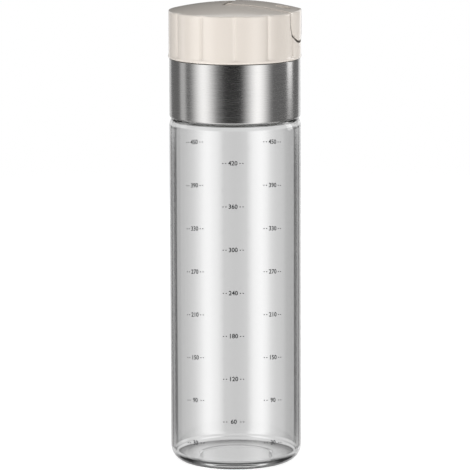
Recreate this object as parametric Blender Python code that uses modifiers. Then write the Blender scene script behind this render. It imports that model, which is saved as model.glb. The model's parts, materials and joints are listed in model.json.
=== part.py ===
"""Oil dispenser bottle: a straight glass bottle, a steel-clad screw closure and a flip lid.

Metres, +Z up. The origin is the centre of the ring that the bottle stands on.
The front, where the scale is printed, faces -Y. The flip lid points towards +X,
turned a little to the front.
"""
import math

import bmesh
import bpy
from mathutils import Matrix, Vector

# Clearances
GAP = 0.0003                    # between pieces that touch on the real bottle
SIDE_GAP = 0.00045              # on each side of the lid in its channel
THREAD_GAP = 0.0005             # from a thread's crest to the wall that it faces
OVERRUN = 0.0030                # how far a cutter reaches past what it cuts

# Glass bottle
BODY_RADIUS = 0.0320
BODY_WALL = 0.00195
SIDE_HEIGHT = 0.1660            # from the table to the top of the straight side
SHOULDER_RADIUS = 0.0080
HEEL_RADIUS = 0.0080
INNER_HEEL_RADIUS = 0.0022
BASE_THICKNESS = 0.0037
REST_RING_WIDTH = 0.0060
PUNT_RISE = 0.0012
FLOOR_CROWN = 0.0006
NECK_STEP_IN = 0.0056           # from the side to the outside of the neck
NECK_WALL = 0.0022
NECK_HEIGHT = 0.0320            # from the top of the straight side to the mouth
LIP_RADIUS = 0.0009

# Screw thread: a rounded bead, one on the neck and one inside the collar core
THREAD_BEAD = 0.0011            # radius of the bead, half sunk in its wall
THREAD_PITCH = 0.0040
THREAD_TURNS = 1.25
THREAD_DROP = 0.0107            # from the mouth down to the lower end of the thread

# Gasket on the mouth
GASKET_THICKNESS = 0.0020
GASKET_INNER_INSET = 0.0010     # how far it reaches inside the mouth
GASKET_OUTER_LIP = 0.0010       # how far it reaches outside the neck

# Collar: plastic core and brushed steel sleeve
COLLAR_RISE = 0.0047            # from the top of the straight side to the sleeve's lower edge
COLLAR_HEIGHT = 0.0288
COLLAR_STEP_IN = 0.0001         # the sleeve is a hair slimmer than the glass
SLEEVE_WALL = 0.0006
SLEEVE_EDGE_RADIUS = 0.0010
CORE_SHOULDER_GAP = 0.0010      # from the glass shoulder to the core's lower end
SHELF_THICKNESS = 0.0016
SHELF_INSET = 0.0004            # how far the shelf reaches inside the gasket
CORE_NECK_RISE = 0.0028         # from the shelf to the top of the core's neck
CORE_NECK_WALL = 0.0016

# Cap shell
CAP_OVERHANG = 0.0006           # the crests of the lobes stand this far outside the sleeve
CAP_HEIGHT = 0.0269             # to the middle of the dome
CAP_LOBES = 12
LOBE_DEPTH = 0.00055            # from a lobe's crest in to the valley beside it
CAP_WALL = 0.00205              # in a valley
CAP_TOP_WALL = 0.0022
CAP_EDGE_RADIUS = 0.0008        # of the cap and of the lid that lies in it
CAP_DOME_RISE = 0.0039          # from the rim to the middle, if the dome ran out to the crests
CAP_LIP_RADIUS = 0.0008
CAP_LIP_HEIGHT = 0.0010         # plain round lip below the lobes
LOBE_RUN_OUT = 0.0012           # height over which the lobes fade into the lip
CAP_INNER_CHAMFER = 0.0020
CAP_SNAP_GAP = 0.0004           # from the core's neck to the inside of the cap

# Flip lid and the channel that it lies in
LID_AZIMUTH = math.radians(-15.0)   # from +X, seen from above
LID_HALF_WIDTH = 0.0100
LID_PROUD = 0.0005              # the lid stands this far above the dome
LID_INNER_BEND = 0.0013
LID_CLEARANCE = 0.0029          # from the channel's floor up to the lid
KNUCKLE_RADIUS = 0.0028
TAB_THICKNESS = 0.0012
TAB_LENGTH = 0.0184             # from the top of the lid to the tip of the tab
TIP_GAP = 0.0012                # finger gap below the tip
HINGE_END_GAP = 0.0008          # behind the hinge knuckle, so that the lid can lean back
CHANNEL_WALL = 0.0024
CHANNEL_FLOOR_WALL = 0.0016
WEB_GAP = 0.00035               # behind the tab
PIN_RADIUS = 0.0008
PIN_OVERHANG = 0.0012           # how far the pin reaches into each side wall

# Pour insert, its seals, the spout and the vent
INSERT_THICKNESS = 0.0020
INSERT_RIB_WALL = 0.0013
INSERT_RIB_DROP = 0.0024
SEAL_THICKNESS = 0.0010
SEAL_INSET = 0.0002
SPOUT_INSET = 0.0055            # from the inside of the cap to the spout's centre
SPOUT_BORE_RADIUS = 0.0033
SPOUT_WALL = 0.0009
SPOUT_RIM_OVERHANG = 0.0009
SPOUT_RIM_THICKNESS = 0.0014
SPOUT_RIM_BEVEL = 0.0006
BOSS_WALL = 0.0007
BOSS_HEIGHT = 0.0034
FOOT_SEAL_THICKNESS = 0.0008
FOOT_SEAL_INSET = 0.0001
VENT_REACH = 0.0105             # from the bottle's axis to the vent
VENT_BORE_RADIUS = 0.0014
VENT_WALL = 0.0011

# Silicone plugs under the lid
PLUG_FLANGE_THICKNESS = 0.0006
PLUG_FLANGE_OVERHANG = 0.0010   # past the plug's shaft
PLUG_SHAFT_GAP = 0.00035        # to the spout's bore
PLUG_DEPTH = 0.0030             # how far the shaft hangs below its flange
PLUG_TAPER = 0.0006
PLUG_HEAD_RADIUS = 0.0036
PLUG_HEAD_RECESS = 0.0012       # from the top of the lid down to the plug's head
VENT_PAD_RADIUS = 0.0022
VENT_STEM_RADIUS = 0.0010
VENT_STEM_HEIGHT = 0.0012

# Faceting
BIG_STEPS = 48
SMALL_STEPS = 24
PIN_STEPS = 16
LOBE_STEPS = 8                  # along each lobe's width
THREAD_STEPS_A_TURN = 30
THREAD_FADE_SHARE = 0.08        # of the thread's length, at each end
THREAD_TIP_SHARE = 0.35         # of the bead's radius, at its ends
ARC_STEPS = 4
DOME_RING_SHARES = (0.0, 0.3, 0.6, 0.82)    # of the crest radius
MERGE_DISTANCE = 0.00001

# Radii that follow from the sizes above
NECK_RADIUS = BODY_RADIUS - NECK_STEP_IN
MOUTH_RADIUS = NECK_RADIUS - NECK_WALL
CORE_BORE_RADIUS = NECK_RADIUS + THREAD_BEAD + THREAD_GAP
SLEEVE_RADIUS = BODY_RADIUS - COLLAR_STEP_IN
CORE_RADIUS = SLEEVE_RADIUS - SLEEVE_WALL - GAP
CREST_RADIUS = SLEEVE_RADIUS + CAP_OVERHANG
CAP_INNER_RADIUS = CREST_RADIUS - LOBE_DEPTH - CAP_WALL
CORE_NECK_RADIUS = CAP_INNER_RADIUS - CAP_SNAP_GAP
CORE_NECK_BORE = CORE_NECK_RADIUS - CORE_NECK_WALL
GASKET_INNER_RADIUS = MOUTH_RADIUS - GASKET_INNER_INSET
SHELF_RADIUS = GASKET_INNER_RADIUS - SHELF_INSET
TAB_INNER_RADIUS = CREST_RADIUS - TAB_THICKNESS
WEB_RADIUS = TAB_INNER_RADIUS - WEB_GAP
SPOUT_RADIUS = SPOUT_BORE_RADIUS + SPOUT_WALL
BOSS_BORE_RADIUS = SPOUT_RADIUS + GAP
SPOUT_REACH = CAP_INNER_RADIUS - SPOUT_INSET
VENT_RADIUS = VENT_BORE_RADIUS + VENT_WALL
CHANNEL_HALF_WIDTH = LID_HALF_WIDTH + SIDE_GAP

# Heights that follow from the sizes above
MOUTH_HEIGHT = SIDE_HEIGHT + NECK_HEIGHT
THREAD_FOOT = MOUTH_HEIGHT - THREAD_DROP
SLEEVE_BOTTOM = SIDE_HEIGHT + COLLAR_RISE
SLEEVE_TOP = SLEEVE_BOTTOM + COLLAR_HEIGHT
CAP_BOTTOM = SLEEVE_TOP + GAP
CAP_TOP = CAP_BOTTOM + CAP_HEIGHT
GASKET_BOTTOM = MOUTH_HEIGHT + GAP
SHELF_BOTTOM = GASKET_BOTTOM + GASKET_THICKNESS + GAP
SHELF_TOP = SHELF_BOTTOM + SHELF_THICKNESS
CORE_TOP = SHELF_TOP + CORE_NECK_RISE
SEAL_BOTTOM = CORE_TOP + GAP
INSERT_BOTTOM = SEAL_BOTTOM + SEAL_THICKNESS + GAP
INSERT_TOP = INSERT_BOTTOM + INSERT_THICKNESS
LID_TOP = CAP_TOP + LID_PROUD
PIN_HEIGHT = LID_TOP - KNUCKLE_RADIUS
LID_UNDERSIDE = PIN_HEIGHT - KNUCKLE_RADIUS
FLANGE_TOP = LID_UNDERSIDE - GAP
FLANGE_BOTTOM = FLANGE_TOP - PLUG_FLANGE_THICKNESS
SPOUT_TOP = FLANGE_BOTTOM - GAP
CHANNEL_FLOOR = LID_UNDERSIDE - LID_CLEARANCE
CHANNEL_UNDERSIDE = CHANNEL_FLOOR - CHANNEL_FLOOR_WALL
CAP_CEILING = CAP_TOP - CAP_DOME_RISE - CAP_TOP_WALL


def shoulder_height(radius):
    """Height of the glass shoulder's outside at a radius."""
    reach = radius - (BODY_RADIUS - SHOULDER_RADIUS)
    return SIDE_HEIGHT + math.sqrt(SHOULDER_RADIUS ** 2 - reach ** 2)


CORE_BOTTOM = shoulder_height(CORE_BORE_RADIUS) + CORE_SHOULDER_GAP


def clear_scene():
    """Start from an empty scene."""
    for old in list(bpy.data.objects):
        bpy.data.objects.remove(old, do_unlink=True)


def new_collection(name):
    """Make a collection for pieces or for cutters."""
    collection = bpy.data.collections.new(name)
    bpy.context.scene.collection.children.link(collection)
    return collection


def make_material(name, colour, roughness, metallic=0.0, transmission=0.0, ior=1.5):
    """Make a plain Principled material; the colour is linear."""
    material = bpy.data.materials.new(name)
    material.use_nodes = True
    shader = material.node_tree.nodes["Principled BSDF"]
    shader.inputs["Base Color"].default_value = (*colour, 1.0)
    shader.inputs["Roughness"].default_value = roughness
    shader.inputs["Metallic"].default_value = metallic
    shader.inputs["Transmission Weight"].default_value = transmission
    shader.inputs["IOR"].default_value = ior
    material.diffuse_color = (*colour, 1.0)
    return material


def add_object(name, mesh, collection, material=None, parent=None):
    """Put a mesh in the scene as a named object."""
    piece = bpy.data.objects.new(name, mesh)
    collection.objects.link(piece)
    piece.parent = parent
    if material:
        mesh.materials.append(material)
    return piece


def as_cutter(piece):
    """Mark a helper solid that only cuts or joins."""
    piece.hide_render = True
    piece.display_type = 'WIRE'
    return piece


def arc(centre_radius, centre_height, radius, start, end, steps=ARC_STEPS):
    """Points of an arc in the radius and height plane, from one angle to another."""
    points = []
    for step in range(steps + 1):
        angle = start + (end - start) * step / steps
        points.append((centre_radius + radius * math.cos(angle),
                       centre_height + radius * math.sin(angle)))
    return points


def turned(name, outline, collection, material=None, parent=None, closed=True, steps=BIG_STEPS):
    """Turn an outline of (radius, height) points about Z.

    A closed outline makes a ring. An open one starts and ends on the axis.
    """
    shape = bmesh.new()
    corners = [shape.verts.new((radius, 0.0, height)) for radius, height in outline]
    for first, second in zip(corners, corners[1:]):
        shape.edges.new((first, second))
    if closed:
        shape.edges.new((corners[-1], corners[0]))
    mesh = bpy.data.meshes.new(name)
    shape.to_mesh(mesh)
    shape.free()
    piece = add_object(name, mesh, collection, material, parent)
    screw = piece.modifiers.new("Turn", 'SCREW')
    screw.axis = 'Z'
    screw.angle = math.tau
    screw.steps = steps
    screw.render_steps = steps
    screw.use_merge_vertices = True
    screw.merge_threshold = MERGE_DISTANCE
    screw.use_smooth_shade = True
    return piece


def rod(name, radius, length, centre, direction, collection, material=None, parent=None,
        steps=SMALL_STEPS):
    """Make a straight cylinder along a direction, centred on a point."""
    shape = bmesh.new()
    bmesh.ops.create_cone(shape, cap_ends=True, segments=steps, radius1=radius, radius2=radius,
                          depth=length)
    turn = Vector((0.0, 0.0, 1.0)).rotation_difference(Vector(direction)).to_matrix().to_4x4()
    bmesh.ops.transform(shape, matrix=Matrix.Translation(centre) @ turn, verts=shape.verts)
    mesh = bpy.data.meshes.new(name)
    shape.to_mesh(mesh)
    shape.free()
    return add_object(name, mesh, collection, material, parent)


def block(name, low, high, collection, parent=None):
    """Make a box between two corners."""
    shape = bmesh.new()
    bmesh.ops.create_cube(shape, size=1.0)
    size = Vector(high) - Vector(low)
    middle = (Vector(high) + Vector(low)) / 2.0
    bmesh.ops.scale(shape, vec=size, verts=shape.verts)
    bmesh.ops.translate(shape, vec=middle, verts=shape.verts)
    mesh = bpy.data.meshes.new(name)
    shape.to_mesh(mesh)
    shape.free()
    return add_object(name, mesh, collection, None, parent)


def combine(piece, tool, operation):
    """Cut, join or intersect a piece with a helper solid."""
    change = piece.modifiers.new(tool.name, 'BOOLEAN')
    change.operation = operation
    change.solver = 'EXACT'
    change.object = tool


def smooth_edges(piece):
    """Shade a built mesh smooth, with sharp corners kept."""
    piece.data.shade_smooth()
    piece.data.set_sharp_from_angle(angle=math.radians(30.0))


def thread_bead(name, radius, foot, start_angle, collection, parent=None):
    """Make the rounded bead of a right-hand thread as a closed mesh."""
    count = int(THREAD_TURNS * THREAD_STEPS_A_TURN) + 1
    curve = bpy.data.curves.new(name, 'CURVE')
    curve.dimensions = '3D'
    curve.bevel_depth = THREAD_BEAD
    curve.bevel_resolution = 2
    curve.use_fill_caps = True
    spline = curve.splines.new('POLY')
    spline.points.add(count - 1)
    for index, point in enumerate(spline.points):
        share = index / (count - 1)
        angle = start_angle + share * THREAD_TURNS * math.tau
        height = foot + share * THREAD_TURNS * THREAD_PITCH
        point.co = (radius * math.cos(angle), radius * math.sin(angle), height, 1.0)
        to_end = min(share, 1.0 - share) / THREAD_FADE_SHARE
        point.radius = THREAD_TIP_SHARE + (1.0 - THREAD_TIP_SHARE) * min(to_end, 1.0)
    guide = bpy.data.objects.new(name + "_guide", curve)
    collection.objects.link(guide)
    bpy.context.view_layer.update()
    evaluated = guide.evaluated_get(bpy.context.evaluated_depsgraph_get())
    mesh = bpy.data.meshes.new_from_object(evaluated)
    shape = bmesh.new()
    shape.from_mesh(mesh)
    bmesh.ops.remove_doubles(shape, verts=shape.verts, dist=MERGE_DISTANCE)
    shape.to_mesh(mesh)
    shape.free()
    bpy.data.objects.remove(guide, do_unlink=True)
    return as_cutter(add_object(name, mesh, collection, None, parent))


def glass_bottle(parts, cutters, material):
    """One piece of glass: thick base, straight side, shoulder and threaded neck."""
    inner_radius = BODY_RADIUS - BODY_WALL
    shoulder_centre = BODY_RADIUS - SHOULDER_RADIUS
    inner_shoulder = SHOULDER_RADIUS - BODY_WALL
    inner_end = math.acos((MOUTH_RADIUS - shoulder_centre) / inner_shoulder)
    outer_end = math.acos((NECK_RADIUS - shoulder_centre) / SHOULDER_RADIUS)
    rest_outer = BODY_RADIUS - HEEL_RADIUS
    outline = [(0.0, BASE_THICKNESS + FLOOR_CROWN)]
    outline += arc(inner_radius - INNER_HEEL_RADIUS, BASE_THICKNESS + INNER_HEEL_RADIUS,
                   INNER_HEEL_RADIUS, -math.pi / 2.0, 0.0)
    outline += arc(shoulder_centre, SIDE_HEIGHT, inner_shoulder, 0.0, inner_end)
    outline += arc(MOUTH_RADIUS + LIP_RADIUS, MOUTH_HEIGHT - LIP_RADIUS, LIP_RADIUS,
                   math.pi, math.pi / 2.0, 2)
    outline += arc(NECK_RADIUS - LIP_RADIUS, MOUTH_HEIGHT - LIP_RADIUS, LIP_RADIUS,
                   math.pi / 2.0, 0.0, 2)
    outline += arc(shoulder_centre, SIDE_HEIGHT, SHOULDER_RADIUS, outer_end, 0.0, 6)
    outline += arc(rest_outer, HEEL_RADIUS, HEEL_RADIUS, 0.0, -math.pi / 2.0, 6)
    outline += [(rest_outer - REST_RING_WIDTH, 0.0), (0.0, PUNT_RISE)]
    bottle = turned("glass_bottle", outline, parts, material, closed=False)
    bead = thread_bead("neck_thread", NECK_RADIUS, THREAD_FOOT, 0.0, cutters)
    combine(bottle, bead, 'UNION')
    return bottle


def neck_gasket(parts, material):
    """Flat silicone ring on the mouth of the glass."""
    outer = NECK_RADIUS + GASKET_OUTER_LIP
    top = GASKET_BOTTOM + GASKET_THICKNESS
    outline = [(outer, top), (outer, GASKET_BOTTOM),
               (GASKET_INNER_RADIUS, GASKET_BOTTOM), (GASKET_INNER_RADIUS, top)]
    return turned("neck_gasket", outline, parts, material)


def collar_core(parts, cutters, material, closure):
    """Plastic ring with the inner thread, the gasket's shelf and the neck that holds the cap."""
    outline = [(CORE_NECK_RADIUS, CORE_TOP), (CORE_NECK_RADIUS, SLEEVE_TOP),
               (CORE_RADIUS, SLEEVE_TOP), (CORE_RADIUS, CORE_BOTTOM),
               (CORE_BORE_RADIUS, CORE_BOTTOM), (CORE_BORE_RADIUS, SHELF_BOTTOM),
               (SHELF_RADIUS, SHELF_BOTTOM), (SHELF_RADIUS, SHELF_TOP),
               (CORE_NECK_BORE, SHELF_TOP), (CORE_NECK_BORE, CORE_TOP)]
    core = turned("collar_core", outline, parts, material, closure)
    bead = thread_bead("core_thread", CORE_BORE_RADIUS, THREAD_FOOT - THREAD_PITCH / 2.0,
                       -LID_AZIMUTH, cutters, closure)
    combine(core, bead, 'UNION')
    return core


def steel_collar(parts, material, closure):
    """Thin brushed sleeve over the core, its lower edge rolled in."""
    inner = SLEEVE_RADIUS - SLEEVE_WALL
    edge_centre = SLEEVE_RADIUS - SLEEVE_EDGE_RADIUS
    edge_height = SLEEVE_BOTTOM + SLEEVE_EDGE_RADIUS
    outline = [(SLEEVE_RADIUS, SLEEVE_TOP)]
    outline += arc(edge_centre, edge_height, SLEEVE_EDGE_RADIUS, 0.0, -math.pi / 2.0)
    outline += arc(edge_centre, edge_height, SLEEVE_EDGE_RADIUS - SLEEVE_WALL, -math.pi / 2.0, 0.0, 2)
    outline += [(inner, SLEEVE_TOP)]
    return turned("steel_collar", outline, parts, material, closure)


def dome_height(radius, top):
    """Height of a dome with its middle at a height, at a radius."""
    return top - CAP_DOME_RISE * (radius / CREST_RADIUS) ** 2


def domed_edge(top):
    """Outline from the middle of a dome out over its rounded edge to the crest radius."""
    slope = math.atan(2.0 * CAP_DOME_RISE / CREST_RADIUS)
    centre_radius = CREST_RADIUS - CAP_EDGE_RADIUS
    edge_start = centre_radius + CAP_EDGE_RADIUS * math.sin(slope)
    centre_height = dome_height(edge_start, top) - CAP_EDGE_RADIUS * math.cos(slope)
    outline = [(CREST_RADIUS * share, dome_height(CREST_RADIUS * share, top))
               for share in DOME_RING_SHARES]
    return outline + arc(centre_radius, centre_height, CAP_EDGE_RADIUS, math.pi / 2.0 - slope, 0.0)


def lobed_ring(shape, crest_radius, share, height):
    """Add a ring of vertices with lobes of a share of the full depth.

    The lid lies over the middle of one lobe, so a lobe is centred on angle 0.
    """
    half = math.pi / CAP_LOBES
    count = CAP_LOBES * LOBE_STEPS
    ring = []
    for index in range(count):
        angle = math.tau * index / count
        from_crest = ((angle + half) % (2.0 * half) - half) / half
        radius = crest_radius - share * LOBE_DEPTH * from_crest ** 2
        ring.append(shape.verts.new((radius * math.cos(angle), radius * math.sin(angle), height)))
    for first, second in zip(ring, ring[1:] + ring[:1]):
        shape.edges.new((first, second))
    return ring


def cap_blank(parts, material, closure):
    """The cap's outside as one solid: round lip, twelve lobes, rounded edge and dome."""
    lip = arc(CREST_RADIUS - CAP_LIP_RADIUS, CAP_BOTTOM + CAP_LIP_RADIUS, CAP_LIP_RADIUS,
              -math.pi / 2.0, 0.0, 2)
    levels = [(radius, 0.0, height) for radius, height in lip]
    lobe_foot = CAP_BOTTOM + CAP_LIP_HEIGHT
    levels.append((CREST_RADIUS, 0.0, lobe_foot))
    levels.append((CREST_RADIUS, 0.7, lobe_foot + LOBE_RUN_OUT / 2.0))
    levels.append((CREST_RADIUS, 1.0, lobe_foot + LOBE_RUN_OUT))
    top = domed_edge(CAP_TOP)
    edge = top[:-ARC_STEPS - 2:-1]
    for index, (radius, height) in enumerate(edge):
        levels.append((radius, 1.0 - index / (len(edge) - 1), height))
    for radius, height in top[len(DOME_RING_SHARES) - 1:0:-1]:
        levels.append((radius, 0.0, height))
    shape = bmesh.new()
    rings = [lobed_ring(shape, *level) for level in levels]
    for lower, upper in zip(rings, rings[1:]):
        for index, start in enumerate(lower):
            after = (index + 1) % len(lower)
            shape.faces.new((start, lower[after], upper[after], upper[index]))
    shape.faces.new(reversed(rings[0]))
    middle = shape.verts.new((0.0, 0.0, CAP_TOP))
    for first, second in zip(rings[-1], rings[-1][1:] + rings[-1][:1]):
        shape.faces.new((first, second, middle))
    mesh = bpy.data.meshes.new("cap_shell")
    shape.to_mesh(mesh)
    shape.free()
    cap = add_object("cap_shell", mesh, parts, material, closure)
    smooth_edges(cap)
    return cap


def strip_prism(name, half_width, tip_height, start, collection, parent):
    """Solid that runs along +X with a half-round lower end, as the lid's outline seen end on."""
    round_height = tip_height + half_width
    steps = SMALL_STEPS // 2
    outline = [(half_width, CAP_TOP + OVERRUN), (-half_width, CAP_TOP + OVERRUN)]
    outline += arc(0.0, round_height, half_width, math.pi, math.tau, steps)
    shape = bmesh.new()
    corners = [shape.verts.new((start, across, height)) for across, height in outline]
    face = shape.faces.new(corners)
    grown = bmesh.ops.extrude_face_region(shape, geom=[face])
    moved = [item for item in grown["geom"] if isinstance(item, bmesh.types.BMVert)]
    bmesh.ops.translate(shape, vec=(CREST_RADIUS + OVERRUN - start, 0.0, 0.0), verts=moved)
    bmesh.ops.recalc_face_normals(shape, faces=shape.faces)
    mesh = bpy.data.meshes.new(name)
    shape.to_mesh(mesh)
    shape.free()
    return as_cutter(add_object(name, mesh, collection, None, parent))


def cap_shell(parts, cutters, material, closure):
    """Lobed cap, hollow below, with the lid's channel across its top and down its side."""
    cap = cap_blank(parts, material, closure)
    hollow_outline = [(0.0, CAP_CEILING), (CAP_INNER_RADIUS - CAP_INNER_CHAMFER, CAP_CEILING),
                      (CAP_INNER_RADIUS, CAP_CEILING - CAP_INNER_CHAMFER),
                      (CAP_INNER_RADIUS, CAP_BOTTOM - OVERRUN), (0.0, CAP_BOTTOM - OVERRUN)]
    hollow = as_cutter(turned("cap_hollow", hollow_outline, cutters, None, closure, closed=False))
    channel_end = -(KNUCKLE_RADIUS + HINGE_END_GAP)
    tub_side = CHANNEL_HALF_WIDTH + CHANNEL_WALL
    tub = block("channel_tub", (channel_end - CHANNEL_WALL, -tub_side, CHANNEL_UNDERSIDE),
                (CREST_RADIUS, tub_side, CAP_TOP), cutters, closure)
    combine(hollow, as_cutter(tub), 'DIFFERENCE')
    combine(cap, hollow, 'DIFFERENCE')
    tip_height = LID_TOP - TAB_LENGTH - TIP_GAP
    channel = strip_prism("lid_channel", CHANNEL_HALF_WIDTH, tip_height, channel_end, cutters, closure)
    keep_outline = [(0.0, CHANNEL_FLOOR), (WEB_RADIUS, CHANNEL_FLOOR), (WEB_RADIUS, CAP_BOTTOM),
                    (0.0, CAP_BOTTOM)]
    keep = as_cutter(turned("channel_bed", keep_outline, cutters, None, closure, closed=False))
    combine(channel, keep, 'DIFFERENCE')
    combine(cap, channel, 'DIFFERENCE')
    pin_reach = CHANNEL_HALF_WIDTH + PIN_OVERHANG + GAP
    pin_hole = rod("pin_hole", PIN_RADIUS + GAP, 2.0 * pin_reach, (0.0, 0.0, PIN_HEIGHT),
                   (0.0, 1.0, 0.0), cutters, None, closure, PIN_STEPS)
    combine(cap, as_cutter(pin_hole), 'DIFFERENCE')
    for name, reach, radius in (("spout_hole", SPOUT_REACH, SPOUT_RADIUS + GAP),
                                ("vent_hole", VENT_REACH, VENT_RADIUS + GAP)):
        hole = rod(name, radius, 2.0 * OVERRUN, (reach, 0.0, CHANNEL_FLOOR), (0.0, 0.0, 1.0),
                   cutters, None, closure)
        combine(cap, as_cutter(hole), 'DIFFERENCE')
    return cap


def pour_insert(parts, cutters, material, closure):
    """Disc that closes the core, with a boss for the spout and a chimney for the air."""
    rib_outer = CORE_NECK_BORE - GAP
    rib_inner = rib_outer - INSERT_RIB_WALL
    rib_bottom = INSERT_BOTTOM - INSERT_RIB_DROP
    outline = [(0.0, INSERT_TOP), (CORE_NECK_RADIUS, INSERT_TOP), (CORE_NECK_RADIUS, INSERT_BOTTOM),
               (rib_outer, INSERT_BOTTOM), (rib_outer, rib_bottom), (rib_inner, rib_bottom),
               (rib_inner, INSERT_BOTTOM), (0.0, INSERT_BOTTOM)]
    insert = turned("pour_insert", outline, parts, material, closure, closed=False)
    middle = (INSERT_TOP + INSERT_BOTTOM) / 2.0
    boss_top = INSERT_TOP + BOSS_HEIGHT
    chimney_top = SPOUT_TOP
    upright = (0.0, 0.0, 1.0)
    boss = rod("spout_boss", BOSS_BORE_RADIUS + BOSS_WALL, boss_top - middle,
               (SPOUT_REACH, 0.0, (boss_top + middle) / 2.0), upright, cutters, None, closure)
    chimney = rod("vent_chimney", VENT_RADIUS, chimney_top - middle,
                  (VENT_REACH, 0.0, (chimney_top + middle) / 2.0), upright, cutters, None, closure)
    seat_height = boss_top + OVERRUN
    seat = rod("spout_seat", BOSS_BORE_RADIUS, seat_height - INSERT_TOP,
               (SPOUT_REACH, 0.0, (seat_height + INSERT_TOP) / 2.0), upright, cutters, None, closure)
    bore_low = rib_bottom - OVERRUN
    spout_bore = rod("spout_bore", SPOUT_BORE_RADIUS, seat_height - bore_low,
                     (SPOUT_REACH, 0.0, (seat_height + bore_low) / 2.0), upright, cutters, None,
                     closure)
    vent_high = chimney_top + OVERRUN
    vent_bore = rod("vent_bore", VENT_BORE_RADIUS, vent_high - bore_low,
                    (VENT_REACH, 0.0, (vent_high + bore_low) / 2.0), upright, cutters, None, closure)
    for tool in (boss, chimney):
        combine(insert, as_cutter(tool), 'UNION')
    for tool in (seat, spout_bore, vent_bore):
        combine(insert, as_cutter(tool), 'DIFFERENCE')
    return insert


def flat_ring(name, inner, outer, bottom, thickness, parts, material, parent, steps=BIG_STEPS):
    """Make a flat sealing ring."""
    top = bottom + thickness
    outline = [(outer, top), (outer, bottom), (inner, bottom), (inner, top)]
    return turned(name, outline, parts, material, parent, steps=steps)


def insert_seal(parts, material, closure):
    """Ring between the core's neck and the pour insert."""
    return flat_ring("insert_seal", CORE_NECK_BORE + SEAL_INSET, CORE_NECK_RADIUS - SEAL_INSET,
                     SEAL_BOTTOM, SEAL_THICKNESS, parts, material, closure)


def spout_seal(parts, material, closure):
    """Ring under the foot of the spout, inside the boss."""
    ring = flat_ring("spout_seal", SPOUT_BORE_RADIUS + FOOT_SEAL_INSET, SPOUT_RADIUS,
                     INSERT_TOP + GAP, FOOT_SEAL_THICKNESS, parts, material, closure, SMALL_STEPS)
    ring.location.x = SPOUT_REACH
    return ring


def pour_spout(parts, material, closure):
    """Tube from the insert up through the channel's floor, with a raised pouring rim."""
    rim_radius = SPOUT_RADIUS + SPOUT_RIM_OVERHANG
    rim_bottom = SPOUT_TOP - SPOUT_RIM_THICKNESS
    foot = INSERT_TOP + 2.0 * GAP + FOOT_SEAL_THICKNESS
    outline = [(rim_radius - SPOUT_RIM_BEVEL, SPOUT_TOP), (rim_radius, SPOUT_TOP - SPOUT_RIM_BEVEL),
               (rim_radius, rim_bottom), (SPOUT_RADIUS, rim_bottom), (SPOUT_RADIUS, foot),
               (SPOUT_BORE_RADIUS, foot), (SPOUT_BORE_RADIUS, SPOUT_TOP)]
    spout = turned("pour_spout", outline, parts, material, closure, steps=SMALL_STEPS)
    spout.location.x = SPOUT_REACH
    return spout


def lid_pin(parts, material, closure):
    """Steel pin that the lid turns on, held at both ends in the cap."""
    length = 2.0 * (CHANNEL_HALF_WIDTH + PIN_OVERHANG)
    pin = rod("lid_pin", PIN_RADIUS, length, (0.0, 0.0, PIN_HEIGHT), (0.0, 1.0, 0.0), parts,
              material, closure, PIN_STEPS)
    smooth_edges(pin)
    return pin


def flip_lid(parts, cutters, material, hinge):
    """Strip over the channel: hinge knuckle, domed top, bent edge and thumb tab."""
    tab_foot = LID_TOP - TAB_LENGTH - OVERRUN
    outline = domed_edge(LID_TOP)
    outline += [(CREST_RADIUS, tab_foot), (TAB_INNER_RADIUS, tab_foot)]
    outline += arc(TAB_INNER_RADIUS - LID_INNER_BEND, LID_UNDERSIDE - LID_INNER_BEND, LID_INNER_BEND,
                   0.0, math.pi / 2.0, 2)
    outline += [(0.0, LID_UNDERSIDE)]
    lid = turned("flip_lid", outline, parts, material, hinge, closed=False, steps=2 * BIG_STEPS)
    strip = strip_prism("lid_outline", LID_HALF_WIDTH, LID_TOP - TAB_LENGTH, 0.0, cutters, hinge)
    combine(lid, strip, 'INTERSECT')
    across = (0.0, 1.0, 0.0)
    knuckle = rod("lid_knuckle", KNUCKLE_RADIUS, 2.0 * LID_HALF_WIDTH, (0.0, 0.0, PIN_HEIGHT),
                  across, cutters, None, hinge)
    pin_bore = rod("lid_pin_bore", PIN_RADIUS + GAP, 2.0 * (LID_HALF_WIDTH + OVERRUN),
                   (0.0, 0.0, PIN_HEIGHT), across, cutters, None, hinge, PIN_STEPS)
    upright = (0.0, 0.0, 1.0)
    plug_hole = rod("plug_hole", PLUG_HEAD_RADIUS + GAP, LID_TOP - LID_UNDERSIDE + 2.0 * OVERRUN,
                    (SPOUT_REACH, 0.0, (LID_TOP + LID_UNDERSIDE) / 2.0), upright, cutters, None,
                    hinge)
    stem_hole_height = VENT_STEM_HEIGHT + GAP
    stem_hole = rod("stem_hole", VENT_STEM_RADIUS + GAP, 2.0 * stem_hole_height,
                    (VENT_REACH, 0.0, LID_UNDERSIDE), upright, cutters, None, hinge)
    combine(lid, as_cutter(knuckle), 'UNION')
    for tool in (pin_bore, plug_hole, stem_hole):
        combine(lid, as_cutter(tool), 'DIFFERENCE')
    return lid


def spout_plug(parts, material, hinge):
    """Silicone stopper: head in the lid's hole, flange below it, shaft in the spout."""
    shaft = SPOUT_BORE_RADIUS - PLUG_SHAFT_GAP
    flange = shaft + PLUG_FLANGE_OVERHANG
    head_top = dome_height(SPOUT_REACH, LID_TOP) - PLUG_HEAD_RECESS
    tip = FLANGE_BOTTOM - PLUG_DEPTH
    outline = [(0.0, head_top), (PLUG_HEAD_RADIUS, head_top), (PLUG_HEAD_RADIUS, FLANGE_TOP),
               (flange, FLANGE_TOP), (flange, FLANGE_BOTTOM), (shaft, FLANGE_BOTTOM),
               (shaft - PLUG_TAPER, tip), (0.0, tip)]
    plug = turned("spout_plug", outline, parts, material, hinge, closed=False, steps=SMALL_STEPS)
    plug.location.x = SPOUT_REACH
    return plug


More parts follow.
